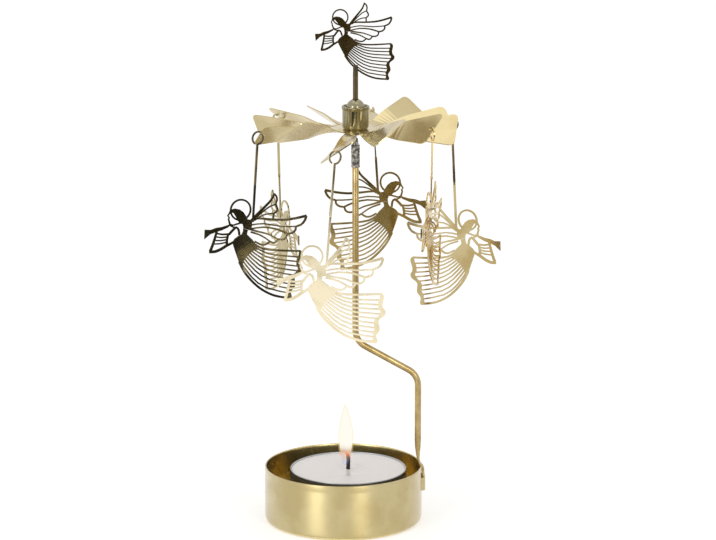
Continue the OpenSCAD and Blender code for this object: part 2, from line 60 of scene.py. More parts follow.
def tone(code: str) -> Colour:
    """Turns a screen colour into the linear colour that a shader takes.

    Args:
        code: Six hexadecimal digits, red first.

    Returns:
        The linear red, green and blue, and an alpha of one.
    """
    parts = [int(code[i : i + 2], 16) / 255 for i in (0, 2, 4)]
    linear = [p / 12.92 if p <= 0.04045 else ((p + 0.055) / 1.055) ** 2.4 for p in parts]
    return (linear[0], linear[1], linear[2], 1.0)


class Val:
    """An output of a node, on which arithmetic adds Math nodes."""

    def __init__(self, graph: "Graph", socket: bpy.types.NodeSocket) -> None:
        """Keeps the socket and the graph that it belongs to."""
        self.graph, self.socket = graph, socket

    def _maths(self, operation: str, first: Any, second: Any) -> "Val":
        """Adds one Math node on two numbers or values."""
        return self.graph.node("ShaderNodeMath", {"operation": operation}, {0: first, 1: second})

    def __add__(self, other: Any) -> "Val":
        """Adds a number or value."""
        return self._maths("ADD", self, other)

    __radd__ = __add__

    def __sub__(self, other: Any) -> "Val":
        """Takes a number or value away."""
        return self._maths("SUBTRACT", self, other)

    def __rsub__(self, other: Any) -> "Val":
        """Takes this value away from a number."""
        return self._maths("SUBTRACT", other, self)

    def __mul__(self, other: Any) -> "Val":
        """Multiplies by a number or value."""
        return self._maths("MULTIPLY", self, other)

    __rmul__ = __mul__

    def __truediv__(self, other: Any) -> "Val":
        """Divides by a number or value."""
        return self._maths("DIVIDE", self, other)

    def either(self, other: "Val") -> "Val":
        """The larger of two values, an or on masks."""
        return self._maths("MAXIMUM", self, other)

    def step(self, low: float, high: float) -> "Val":
        """Rises smoothly from 0 to 1 as this value goes from low to high."""
        settings = {"interpolation_type": "SMOOTHSTEP", "clamp": True}
        return self.graph.node("ShaderNodeMapRange", settings, {0: self, 1: low, 2: high})


class Graph:
    """A node tree that is filled through one method."""

    def __init__(self, tree: bpy.types.NodeTree) -> None:
        """Empties the tree.

        Args:
            tree: The node tree of a material or a world.
        """
        self.tree = tree
        tree.nodes.clear()

    def node(
        self,
        kind: str,
        settings: dict[str, Any] | None = None,
        sockets: dict[Any, Any] | None = None,
        out: Any = 0,
    ) -> Val:
        """Adds a node.

        Args:
            kind: The node's type name.
            settings: Its properties, which are set first.
            sockets: Numbers, colours or values for its inputs, by name or index.
            out: The output to return, by name or index.

        Returns:
            The chosen output.
        """
        made = self.tree.nodes.new(kind)
        for name, value in (settings or {}).items():
            setattr(made, name, value)
        for key, value in (sockets or {}).items():
            if isinstance(value, Val):
                self.tree.links.new(value.socket, made.inputs[key])
            else:
                made.inputs[key].default_value = value
        return Val(self, made.outputs[out] if len(made.outputs) else None)

    def place(self, scale: tuple[float, float, float] = (1.0, 1.0, 1.0)) -> Val:
        """Object coordinates, stretched.

        Args:
            scale: How much finer a pattern gets along each axis.

        Returns:
            The stretched coordinates.
        """
        where = self.node("ShaderNodeTexCoord", out="Object")
        return self.node("ShaderNodeMapping", sockets={"Vector": where, "Scale": scale})

    def noise(self, at: Val, scale: float, detail: float = 2.0) -> Val:
        """Smooth noise.

        Args:
            at: The coordinates.
            scale: Lumps for each metre.
            detail: How many finer layers lie on it.

        Returns:
            A value round one half.
        """
        return self.node("ShaderNodeTexNoise", sockets={"Vector": at, "Scale": scale, "Detail": detail})

    def tint(self, mask: Val, low: Any, high: Any) -> Val:
        """Mixes two colours.

        Args:
            mask: 0 for low and 1 for high.
            low: The first colour.
            high: The second colour.

        Returns:
            The mixed colour.
        """
        return self.node("ShaderNodeMix", {"data_type": "RGBA"}, {0: mask, 6: low, 7: high}, 2)

    def axis(self, at: Val, name: str) -> Val:
        """One coordinate of a vector, by its letter."""
        return self.node("ShaderNodeSeparateXYZ", sockets={0: at}, out=name)

    def bump(self, height: Val, strength: float = 1.0) -> Val:
        """Turns a height into a bumped normal.

        Args:
            height: The height in metres.
            strength: How much of it shows, from 0 to 1.

        Returns:
            The normal.
        """
        sockets = {"Strength": strength, "Distance": 1.0, "Height": height}
        return self.node("ShaderNodeBump", sockets=sockets)


def principled(name: str) -> tuple[bpy.types.Material, Graph, bpy.types.Node]:
    """Makes a material that holds one Principled shader.

    Args:
        name: The material's name.

    Returns:
        The material, its graph and its shader node.
    """
    made = bpy.data.materials.new(name)
    made.use_nodes = True
    graph = Graph(made.node_tree)
    shader = graph.node("ShaderNodeBsdfPrincipled")
    graph.node("ShaderNodeOutputMaterial", sockets={"Surface": shader})
    return made, graph, shader.socket.node


def feed(graph: Graph, shader: bpy.types.Node, **sockets: Any) -> None:
    """Sets or links a shader's sockets.

    Args:
        graph: The material's graph.
        shader: The shader node.
        **sockets: Numbers, colours or values, by socket name with _ for a space.
    """
    for name, value in sockets.items():
        target = shader.inputs[name.replace("_", " ")]
        if isinstance(value, Val):
            graph.tree.links.new(value.socket, target)
        else:
            target.default_value = value


class Grain(Enum):
    """Which way the fine lines of a worked metal run."""

    UPRIGHT = (1.0, 1.0, 0.06)
    ROUND = (0.08, 0.08, 1.0)
    EVEN = (1.0, 1.0, 1.0)


@dataclass(frozen=True)
class MetalFinish:
    """Plated or bare metal, with drawn lines, soft waves and handling marks.

    Attributes:
        name: The material's name.
        colour: Its plain colour.
        shade: The colour of its duller patches.
        rough: Its roughness where it is cleanest.
        haze: How much rougher the duller patches are.
        grain: The direction of its fine lines.
        line_depth: Depth of these lines in millimetres.
        wave_depth: Depth of the sheet's soft waves in millimetres.
        wave_size: Length of these waves in millimetres.
        patch_size: Size of the duller patches in millimetres.
        streak: How far highlights are drawn out across the lines of a turned piece, from 0 to 1.
        lacquer: Weight of the clear lacquer on it.
        LINES: Fine lines in each metre.
        MARKS: Handling marks in each metre.
        QUARTER_TURN: Turns the drawn-out highlights upright.
        LACQUER_ROUGH: Roughness of the lacquer.
        LACQUER_IOR: Refractive index of the lacquer.
    """

    name: str
    colour: Colour
    shade: Colour
    rough: float
    haze: float
    grain: Grain = Grain.EVEN
    line_depth: float = 0.004
    wave_depth: float = 0.0
    wave_size: float = 12.0
    patch_size: float = 9.0
    streak: float = 0.0
    lacquer: float = 0.0
    LINES: ClassVar[float] = 5200.0
    MARKS: ClassVar[float] = 900.0
    QUARTER_TURN: ClassVar[float] = 0.25
    LACQUER_ROUGH: ClassVar[float] = 0.24
    LACQUER_IOR: ClassVar[float] = 1.6

    def material(self) -> bpy.types.Material:
        """Builds the material.

        Returns:
            A metallic material whose colour, roughness and bump vary over the surface.
        """
        made, graph, shader = principled(self.name)
        at = graph.place()
        patches = graph.noise(at, 1000 / self.patch_size, 4.0).step(0.38, 0.66)
        lines = graph.noise(graph.place(self.grain.value), self.LINES, 1.0)
        marks = graph.noise(at, self.MARKS, 5.0).step(0.6, 0.72)
        height = lines * (self.line_depth * MM)
        if self.wave_depth:
            height = height + graph.noise(at, 1000 / self.wave_size, 0.0) * (self.wave_depth * MM)
        feed(
            graph,
            shader,
            Base_Color=graph.tint(patches * 0.8 + marks * 0.2, self.colour, self.shade),
            Metallic=1.0,
            Roughness=patches * self.haze + marks * 0.05 + lines * 0.04 + self.rough,
            Normal=graph.bump(height),
            Anisotropic=self.streak,
            Anisotropic_Rotation=self.QUARTER_TURN,
            Coat_Weight=self.lacquer,
            Coat_Roughness=self.LACQUER_ROUGH,
            Coat_IOR=self.LACQUER_IOR,
        )
        return made


@dataclass(frozen=True)
class RoughMetalFinish:
    """Grey crimped metal, mottled dark and bright.

    Attributes:
        name: The material's name.
        dark: The colour of its pits.
        light: The colour of its high spots.
        pit_depth: Depth of the pits in millimetres.
    """

    name: str
    dark: Colour
    light: Colour
    pit_depth: float = 0.25

    def material(self) -> bpy.types.Material:
        """Builds the material."""
        made, graph, shader = principled(self.name)
        spots = graph.noise(graph.place(), 900.0, 4.0)
        mask = spots.step(0.42, 0.6)
        feed(
            graph,
            shader,
            Base_Color=graph.tint(mask, self.dark, self.light),
            Metallic=0.9,
            Roughness=0.5 - mask * 0.18,
            Normal=graph.bump(spots * (self.pit_depth * MM), 0.9),
        )
        return made


@dataclass(frozen=True)
class WaxFinish:
    """White candle wax, glossier in the shallow melt round the wick.

    Attributes:
        name: The material's name.
        colour: The wax's colour.
        melt: Its colour in the melt.
        wick_x: Place of the wick in millimetres.
        melt_r: Radius of the melt in millimetres.
        grain_depth: Depth of the wax's fine grain in millimetres.
    """

    name: str
    colour: Colour
    melt: Colour
    wick_x: float
    melt_r: float
    grain_depth: float = 0.05

    def material(self) -> bpy.types.Material:
        """Builds the material."""
        made, graph, shader = principled(self.name)
        at = graph.place()
        side = graph.axis(at, "X") - self.wick_x * MM
        away = graph.axis(at, "Y")
        reach = (side * side + away * away) / ((self.melt_r * MM) ** 2)
        melt = 1 - reach.step(0.5, 1.4)
        grain = graph.noise(at, 1400.0, 3.0)
        feed(
            graph,
            shader,
            Base_Color=graph.tint(melt, self.colour, self.melt),
            Roughness=0.46 + grain * 0.1 - melt * 0.28,
            Normal=graph.bump(grain * (self.grain_depth * MM), 0.4),
            Subsurface_Weight=0.2,
            Subsurface_Scale=0.002,
            Subsurface_Radius=(1.0, 0.9, 0.8),
        )
        return made


@dataclass(frozen=True)
class WickFinish:
    """Charred cotton with a glowing tip.

    Attributes:
        name: The material's name.
        tip_z: Height of the tip in millimetres.
        glow_h: Length of the glowing end in millimetres.
        char: The colour of the charred cotton.
        ash: The colour of its paler fibres.
        ember: The colour that its tip glows in.
        fibre_depth: Depth of the fibres in millimetres.
    """

    name: str
    tip_z: float
    glow_h: float = 2.2
    char: Colour = tone("0d0b0a")
    ash: Colour = tone("2b211b")
    ember: Colour = tone("f0742a")
    fibre_depth: float = 0.1

    def material(self) -> bpy.types.Material:
        """Builds the material."""
        made, graph, shader = principled(self.name)
        at = graph.place()
        glow = graph.axis(at, "Z").step((self.tip_z - self.glow_h) * MM, self.tip_z * MM)
        fibres = graph.noise(graph.place((1.0, 1.0, 0.3)), 4000.0, 2.0)
        feed(
            graph,
            shader,
            Base_Color=graph.tint(fibres.step(0.4, 0.7), self.char, self.ash),
            Emission_Color=graph.tint(glow, BLACK, self.ember),
            Emission_Strength=1.0,
            Roughness=0.85 - fibres * 0.1,
            Normal=graph.bump(fibres * (self.fibre_depth * MM), 0.8),
        )
        return made


@dataclass(frozen=True)
class FlameFinish:
    """The flame's light: bluish at its foot, orange above the wick, then pale yellow and white.

    Attributes:
        name: The material's name.
        low: Height of the flame's foot in millimetres.
        high: Height of its tip in millimetres.
        foot: The colour at the foot.
        belly: The colour round the wick's tip.
        body: The colour of the bright middle.
        thin: How solid it is at the foot, from 0 to 1.
        dense: How solid it is at the top.
        power: Brightness of its light.
    """

    name: str
    low: float
    high: float
    foot: Colour
    belly: Colour
    body: Colour
    thin: float
    dense: float
    power: float

    def material(self) -> bpy.types.Material:
        """Builds the material."""
        made, graph, shader = principled(self.name)
        rise = (graph.axis(graph.place(), "Z") - self.low * MM) / ((self.high - self.low) * MM)
        wisps = graph.noise(graph.place((1.0, 1.0, 0.25)), 500.0, 2.0) * 0.12
        level = rise + wisps - 0.06
        lower = graph.tint(level.step(0.0, 0.22), self.foot, self.belly)
        feed(
            graph,
            shader,
            Base_Color=BLACK,
            Specular_IOR_Level=0.0,
            Roughness=1.0,
            Emission_Color=graph.tint(level.step(0.16, 0.34), lower, self.body),
            Emission_Strength=self.power,
            Alpha=level.step(0.12, 0.45) * (self.dense - self.thin) + self.thin,
        )
        return made


@dataclass(frozen=True)
class Finishes:
    """The finishes of the whole object, by the slots of the record."""

    cup: MetalFinish = MetalFinish(
        "cup_gold", tone("c4b481"), tone("b7a369"), 0.36, 0.05, Grain.ROUND, 0.004, 0.03, 18.0, 12.0, 0.8, 1.0
    )
    # A lighter copy of the cup's own gold: painted light for the inner wall and floor
    cup_inside_painted_light: MetalFinish = MetalFinish(
        "cup_gold_inside_painted_light", tone("ead9a0"), tone("dfc987"), 0.2, 0.06, Grain.ROUND, 0.003, 0.04, 14.0, 9.0
    )
    wire: MetalFinish = MetalFinish(
        "wire_gold", tone("bca675"), tone("9c8350"), 0.2, 0.12, Grain.UPRIGHT, 0.008, 0.0, 12.0, 5.0
    )
    # Brass colour darkened by painted shade, standing in for the dark surroundings that the polished hub
    # reflects
    brass: MetalFinish = MetalFinish(
        "hub_brass", tone("989176"), tone("7f785e"), 0.12, 0.04, Grain.EVEN, 0.0, 0.0, 6.0, 4.0
    )
    fan: MetalFinish = MetalFinish(
        "fan_gold", tone("cdbd90"), tone("bba877"), 0.13, 0.08, Grain.EVEN, 0.003, 0.06, 16.0, 14.0
    )
    needle: MetalFinish = MetalFinish("needle_steel", tone("c4c4c6"), tone("9b9b9e"), 0.2, 0.1, Grain.ROUND)
    foil: MetalFinish = MetalFinish(
        "tealight_alu", tone("b2b3b5"), tone("a2a3a6"), 0.28, 0.08, Grain.UPRIGHT, 0.01, 0.08, 4.0, 15.0
    )
    sleeve: RoughMetalFinish = RoughMetalFinish("sleeve_steel", tone("55524d"), tone("a39e96"))
    # The top angel's stem is gold; its dark colour is painted shade for the dark reflections it shows
    stem: MetalFinish = MetalFinish(
        "stem_gold_painted_shade", tone("63573f"), tone("4a4133"), 0.34, 0.1, Grain.UPRIGHT, 0.006
    )


FINISH = Finishes()


class Maker:
    """Makes objects from bmeshes whose units are millimetres."""

    @staticmethod
    def object(bm: bmesh.types.BMesh, name: str, finish: Any, angle: float = 32.0) -> bpy.types.Object:
        """Turns a bmesh into an object of the scene.

        Args:
            bm: The shape in millimetres, which is freed.
            name: The object's name.
            finish: The finish, or a ready material.
            angle: Edges sharper than this many degrees stay sharp.

        Returns:
            The object, at the origin and in metres.
        """
        bmesh.ops.scale(bm, vec=(MM, MM, MM), verts=bm.verts)
        mesh = bpy.data.meshes.new(name)
        bm.to_mesh(mesh)
        bm.free()
        mesh.shade_smooth()
        mesh.set_sharp_from_angle(angle=math.radians(angle))
        mesh.materials.append(finish if isinstance(finish, bpy.types.Material) else finish.material())
        made = bpy.data.objects.new(name, mesh)
        bpy.context.scene.collection.objects.link(made)
        return made

    @staticmethod
    def turned(
        profile: list[Point], x: float = 0.0, steps: int = 128, closed: bool = False
    ) -> bmesh.types.BMesh:
        """Spins a profile round an upright axis.

        Args:
            profile: Radius and height of each corner, from the bottom outwards and up.
            x: Place of the axis along X.
            steps: Faces round the axis.
            closed: True if the profile is a ring that stays off the axis.

        Returns:
            A closed shell with its faces outwards.
        """
        bm = bmesh.new()
        verts = [bm.verts.new((x + r, 0.0, z)) for r, z in profile]
        ends = list(zip(verts, verts[1:])) + ([(verts[-1], verts[0])] if closed else [])
        edges = [bm.edges.new(pair) for pair in ends]
        bmesh.ops.spin(
            bm, geom=verts + edges, cent=(x, 0.0, 0.0), axis=(0.0, 0.0, 1.0), dvec=(0.0, 0.0, 0.0),
            angle=math.tau, steps=steps, use_merge=True,
        )
        bmesh.ops.remove_doubles(bm, verts=bm.verts, dist=0.0005)
        bmesh.ops.recalc_face_normals(bm, faces=bm.faces)
        if bm.calc_volume(signed=True) < 0:
            bmesh.ops.reverse_faces(bm, faces=bm.faces)
        return bm

    @staticmethod
    def loft(bm: bmesh.types.BMesh, stations: list[Station], sides: int) -> None:
        """Runs a section along a line in the XZ plane and closes its ends.

        Args:
            bm: The bmesh that gets the shape.
            stations: For each section its middle, its direction, its width across Y, its thickness and how
                square it is, from 0 for an ellipse to 1.
            sides: Corners of a section.
        """
        loops = []
        for middle, along, width, thick, square in stations:
            ring = bmesh.ops.create_circle(bm, segments=sides, radius=1.0)["verts"]
            for vert in ring:
                c, s = vert.co.x, vert.co.y
                power = 1.0 - 0.72 * square
                vert.co.x = math.copysign(abs(c) ** power, c) * width / 2
                vert.co.y = math.copysign(abs(s) ** power, s) * thick / 2
            side = Vector((0.0, 1.0, 0.0))
            turn = Matrix((side, along.cross(side), along)).transposed().to_4x4()
            bmesh.ops.transform(bm, matrix=Matrix.Translation(middle) @ turn, verts=ring)
            loops.append([e for e in bm.edges if e.verts[0] in ring and e.verts[1] in ring])
        for first, second in zip(loops, loops[1:]):
            bmesh.ops.bridge_loops(bm, edges=first + second)
        for end in (loops[0], loops[-1]):
            bmesh.ops.holes_fill(bm, edges=end, sides=0)
        bmesh.ops.recalc_face_normals(bm, faces=bm.faces)

    @staticmethod
    def rounded(bm: bmesh.types.BMesh, edges: list[bmesh.types.BMEdge], offset: float, segments: int) -> None:
        """Rounds edges off.

        Args:
            bm: The bmesh that they belong to.
            edges: The edges.
            offset: Width of the rounding in millimetres.
            segments: Number of its facets.
        """
        bmesh.ops.bevel(
            bm, geom=edges, offset=offset, offset_type="OFFSET", segments=segments, profile=0.5,
            affect="EDGES", material=-1,
        )

    @staticmethod
    def copy_of(node: str, finish: Any, bevel: float) -> bpy.types.Object:
        """Makes a piece with rounded edges from a copy of a CAD node's mesh.

        Args:
            node: The node's name.
            finish: The piece's finish.
            bevel: Width in millimetres of its rounded edges.

        Returns:
            The new piece.
        """
        bm = bmesh.new()
        bm.from_mesh(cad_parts[node].data)
        bmesh.ops.scale(bm, vec=(1 / MM, 1 / MM, 1 / MM), verts=bm.verts)
        bmesh.ops.remove_doubles(bm, verts=bm.verts, dist=0.0008)
        bmesh.ops.dissolve_limit(bm, angle_limit=math.radians(0.6), verts=bm.verts, edges=bm.edges)
        made = Maker.object(bm, node + "_piece", finish)
        rounding = made.modifiers.new("rounded_edges", "BEVEL")
        rounding.width, rounding.segments, rounding.profile = bevel * MM, 2, 0.5
        rounding.limit_method, rounding.angle_limit = "ANGLE", math.radians(40)
        rounding.use_clamp_overlap = True
        return made


def arc(cx: float, cz: float, r: float, start: float, end: float, steps: int = 6) -> list[Point]:
    """Points of a circle's arc in a profile.

    Args:
        cx: Radius at which its middle lies.
        cz: Height of its middle.
        r: Its own radius.
        start: Angle of its first point in degrees, with 0 outwards and 90 up.
        end: Angle of its last point.
        steps: Number of equal parts.

    Returns:
        Radius and height of each point.
    """
    turns = [math.radians(start + (end - start) * i / steps) for i in range(steps + 1)]
    return [(cx + r * math.cos(t), cz + r * math.sin(t)) for t in turns]


def settle(piece: bpy.types.Object, body: str, slot: str, *nodes: str) -> None:
    """Rides a piece on its body and lets it stand for CAD nodes.

    Args:
        piece: The piece.
        body: The body that it moves with.
        slot: The record's slot of its finish. It is not used.
        *nodes: The CAD nodes that it stands for.
    """
    if nodes:
        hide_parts(*nodes)
    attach(piece, body)
    LOG.info("%s rides on %s", piece.name, body)


def dress(node: str, finish: MetalFinish) -> None:
    """Gives a CAD node its finish and leaves its mesh alone.

    Args:
        node: The node's name.
        finish: Its finish.
    """
    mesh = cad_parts[node].data
    mesh.materials.clear()
    mesh.materials.append(finish.material())
    LOG.info("%s is dressed", node)


@dataclass
class DrawnCup:
    """The gold cup with its notch and its pressed strap."""

    r: float = 25.75
    h: float = 18.5
    wall: float = 0.5
    edge: float = 2.0
    notch_w: float = 3.2
    notch_drop: float = 1.0
    strap_w: float = 6.0
    strap_z: float = 10.4
    strap_h: float = 4.3
    strap_out: float = 1.4
    strap_slope: float = 1.6
    strap_sink: float = 0.35
    # The faint bead under the rim: each point's reach past the wall and its drop from the rim
    bead: tuple[Point, ...] = ((0.0, 3.2), (-0.1, 2.6), (-0.1, 2.0), (0.04, 1.4), (0.0, 0.8))

    def profile(self) -> list[Point]:
        """The half section, with a faint bead below the rounded rim."""
        inner = self.r - self.wall
        lip = self.wall / 2
        return (
            [(0.0, 0.0), (self.r - self.edge - 0.6, 0.0)]
            + arc(self.r - self.edge, self.edge, self.edge, -90, 0, 8)
            + [(self.r, self.edge + 2.0)]
            + [(self.r + reach, self.h - drop) for reach, drop in self.bead]
            + arc(self.r - lip, self.h - lip, lip, 0, 180, 6)
            + [(inner, self.h - 1.0), (inner, self.edge + 0.2)]
            + arc(self.r - self.edge, self.edge, self.edge - self.wall, 0, -90, 6)
            + [(self.r - self.edge - 0.6, self.wall), (0.0, self.wall)]
        )

    def notch(self, cup: bpy.types.Object) -> None:
        """Cuts the notch through the rim.

        Args:
            cup: The spun cup, whose mesh is changed.
        """
        bm = bmesh.new()
        bmesh.ops.create_cube(bm, size=1.0)
        bmesh.ops.scale(bm, vec=(3.0, self.notch_w, 2 * self.notch_drop), verts=bm.verts)
        corners = [
            e for e in bm.edges
            if max(v.co.z for v in e.verts) < 0 and abs(e.verts[0].co.y - e.verts[1].co.y) < 1e-6
        ]
        Maker.rounded(bm, corners, 0.3, 3)
        bmesh.ops.translate(bm, vec=(self.r, 0.0, self.h), verts=bm.verts)
        cutter = Maker.object(bm, "notch_cutter", FINISH.cup)
        cut = cup.modifiers.new("notch", "BOOLEAN")
        cut.operation, cut.object, cut.solver = "DIFFERENCE", cutter, "EXACT"
        shaped = bpy.data.meshes.new_from_object(cup.evaluated_get(bpy.context.evaluated_depsgraph_get()))
        cup.modifiers.clear()
        cup.data = shaped
        bpy.data.objects.remove(cutter)

    def strap(self) -> bmesh.types.BMesh:
        """A band that swells out of the wall and holds the tang.

        Returns:
            The band in millimetres.
        """
        bm = bmesh.new()
        bmesh.ops.create_grid(bm, x_segments=24, y_segments=4, size=0.5)
        for vert in bm.verts:
            across, up = vert.co.x * (self.strap_w + self.strap_slope), vert.co.y + 0.5
            flat = min(1.0, max(0.0, (self.strap_w / 2 + 0.5 - abs(across)) / self.strap_slope))
            swell = flat * flat * (3 - 2 * flat)
            curve = 0.5 * (across / self.r) ** 2 * self.r
            reach = self.r - self.strap_sink + (self.strap_out + 0.1) * swell - curve
            vert.co = (reach, across, self.strap_z + up * self.strap_h)
        bmesh.ops.recalc_face_normals(bm, faces=bm.faces)
        bmesh.ops.solidify(bm, geom=bm.faces[:], thickness=self.wall)
        bmesh.ops.recalc_face_normals(bm, faces=bm.faces)
        rims = [e for e in bm.edges if e.is_manifold and e.calc_face_angle() > math.radians(60)]
        Maker.rounded(bm, rims, 0.12, 2)
        return bm

    def build(self) -> None:
        """Builds the cup and rides it on the base."""
        cup = Maker.object(Maker.turned(self.profile(), steps=160), "drawn_cup", FINISH.cup)
        self.notch(cup)
        both = bmesh.new()
        both.from_mesh(cup.data)
        bmesh.ops.scale(both, vec=(1 / MM, 1 / MM, 1 / MM), verts=both.verts)
        band = self.strap()
        extra = bpy.data.meshes.new("band")
        band.to_mesh(extra)
        band.free()
        both.from_mesh(extra)
        material = cup.data.materials[0]
        bpy.data.objects.remove(cup)
        # The faces of the inner wall and floor take a lighter copy of the gold: painted light that brightens
        # the hollow
        for face in both.faces:
            middle = face.calc_center_median()
            if middle.z > self.wall / 2 and Vector((middle.x, middle.y)).length < self.r - self.wall + 0.06:
                face.material_index = 1
        cup = Maker.object(both, "drawn_cup", material)
        cup.data.materials.append(FINISH.cup_inside_painted_light.material())
        settle(cup, "base", "cup_gold", "cup")


@dataclass
class Tealight:
    """The candle: its foil cup, its wax, its wick and its flame."""

    x: float = 1.6
    z: float = 0.5
    r: float = 19.0
    h: float = 17.0
    wall: float = 0.3
    wax_drop: float = 0.5
    wick_d: float = 1.3
    wick_out: float = 6.0
    wick_bend: float = 3.6
    wick_turn: float = 36.0
    flame_r: float = 2.7
    flame_low: float = 18.0
    flame_high: float = 39.2
    flutes: int = 64
    flute_depth: float = 0.11
    foil_bead: float = 0.22
    # The wax's upper face from its edge to the wick: radius and height past the level of the wax
    pool: tuple[Point, ...] = (
        (8.4, -0.14), (7.4, -0.26), (4.0, -0.34), (1.8, -0.3), (1.0, -0.12), (0.55, 0.0), (0.0, 0.0),
    )

    @property
    def wax_top(self) -> float:
        """Height of the wax."""
        return self.z + self.h - self.wax_drop

    def foil(self) -> None:
        """Builds the fluted foil cup with its rolled rim."""
        top, bead = self.z + self.h, self.foil_bead
        profile = (
            [(0.0, self.z), (self.r - 1.6, self.z)]
            + arc(self.r - 1.3, self.z + 1.0, 1.0, -90, 0, 5)
            + [
                (self.r - 0.3 + 0.3 * t, self.z + 1.0 + (self.h - 2.2) * t)
                for t in (0.2, 0.4, 0.6, 0.8, 1.0)
            ]
            + arc(self.r - bead, top - bead, bead, -20, 190, 8)
            + [(self.r - 2 * bead, top - 0.9), (self.r - self.wall - 0.3, self.z + 1.2)]
            + arc(self.r - 1.3, self.z + 1.0, 0.7, 0, -90, 4)
            + [(0.0, self.z + self.wall)]
        )
        bm = Maker.turned(profile, self.x, steps=256)
        for vert in bm.verts:
            place = Vector((vert.co.x - self.x, vert.co.y))
            height = (vert.co.z - self.z) / self.h
            swell = max(0.0, math.sin(math.pi * min(1.0, height * 1.05)))
            depth = self.flute_depth * swell * (place.length > self.r - 2)
            turn = math.atan2(place.y, place.x)
            place *= 1 - depth * (0.5 + 0.5 * math.cos(self.flutes * turn)) / self.r
            vert.co.x, vert.co.y = self.x + place.x, place.y
        settle(Maker.object(bm, "tealight_foil", FINISH.foil), "tealight", "tealight_alu", "tealight_cup")

    def wax(self) -> None:
        """Builds the wax, sunk a little round the wick and drawn up at the wall."""
        r, top = self.r - 0.5, self.wax_top
        profile = (
            [(0.0, self.z + 0.4), (r - 0.6, self.z + 0.4), (r, self.z + 1.2)]
            + [(r, top + 0.12), (r - 0.35, top + 0.02), (r - 1.2, top - 0.05), (r - 4.0, top - 0.1)]
            + [(reach, top + rise) for reach, rise in self.pool]
        )
        finish = WaxFinish("wax_white", tone("efebe8"), tone("e8e3df"), self.x, 8.0)
        body = Maker.object(Maker.turned(profile, self.x), "wax_body", finish, 50.0)
        settle(body, "tealight", "wax_white", "wax")

    def wick(self) -> None:
        """Builds the curved wick, thinner at its burnt end."""
        straight = self.wax_top + self.wick_out * 0.6
        levels = [self.wax_top - 4.0, self.wax_top - 0.2]
        levels += [self.wax_top + 0.6 * i for i in range(1, 5)] + [straight]
        up = Vector((0, 0, 1))
        stations = [(Vector((self.x, 0, z)), up, self.wick_d, self.wick_d, 0.0) for z in levels]
        for i in range(1, 9):
            turn = math.radians(self.wick_turn * i / 8)
            x = self.x - self.wick_bend * (1 - math.cos(turn))
            middle = Vector((x, 0, straight + self.wick_bend * math.sin(turn)))
            width = self.wick_d * (1 - 0.045 * i)
            stations.append((middle, Vector((-math.sin(turn), 0, math.cos(turn))), width, width, 0.0))
        bm = bmesh.new()
        Maker.loft(bm, stations, 18)
        for vert in bm.verts:
            around = math.atan2(vert.co.y, vert.co.x - self.x)
            lump = math.cos(3 * around + vert.co.z * 5.5) * 0.05
            vert.co.x += lump * math.cos(around)
            vert.co.y += lump * math.sin(around)
        tip = straight + self.wick_bend * math.sin(math.radians(self.wick_turn))
        strand = Maker.object(bm, "wick_strand", WickFinish("wick_cotton", tip + 0.2), 60.0)
        settle(strand, "tealight", "wick_cotton", "wick")

    def shell(self, r: float, low: float, high: float, finish: FlameFinish) -> None:
        """Builds one closed drop of the flame.

        Args:
            r: Its widest radius.
            low: Height of its foot.
            high: Height of its tip.
            finish: Its finish, whose name the piece takes.
        """
        steps = 26
        profile: list[Point] = []
        for i in range(steps + 1):
            t = i / steps
            width = math.sin(math.pi * t**0.9) ** 0.62 * (1 - 0.3 * t**2)
            profile.append((max(0.0, r * width) if 0 < i < steps else 0.0, low + (high - low) * t))
        bm = Maker.turned(profile, self.x, 48)
        for vert in bm.verts:
            lift = (vert.co.z - low) / (high - low)
            vert.co.x += -1.0 + 0.25 * math.sin(3.1 * lift)
        piece = Maker.object(bm, finish.name, finish, 80.0)
        piece.visible_shadow = False
        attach(piece, "tealight")
        LOG.info("%s rides on tealight", piece.name)

    def build(self) -> None:
        """Builds the candle."""
        self.foil()
        self.wax()
        self.wick()
        dress("wick_foot", FINISH.needle)
        low, high = self.flame_low, self.flame_high
        veil_tones = (tone("8fb0ee"), tone("f3b98a"), tone("f5db8c"))
        core_tones = (tone("cfd9f0"), tone("f0a064"), WHITE)
        veil = FlameFinish("flame_veil", low, high, *veil_tones, thin=0.16, dense=0.22, power=1.0)
        core = FlameFinish("flame_core", low, high, *core_tones, thin=0.05, dense=1.0, power=1.05)
        self.shell(self.flame_r, low, high, veil)
        self.shell(self.flame_r * 0.82, low + 0.6, high - 1.4, core)


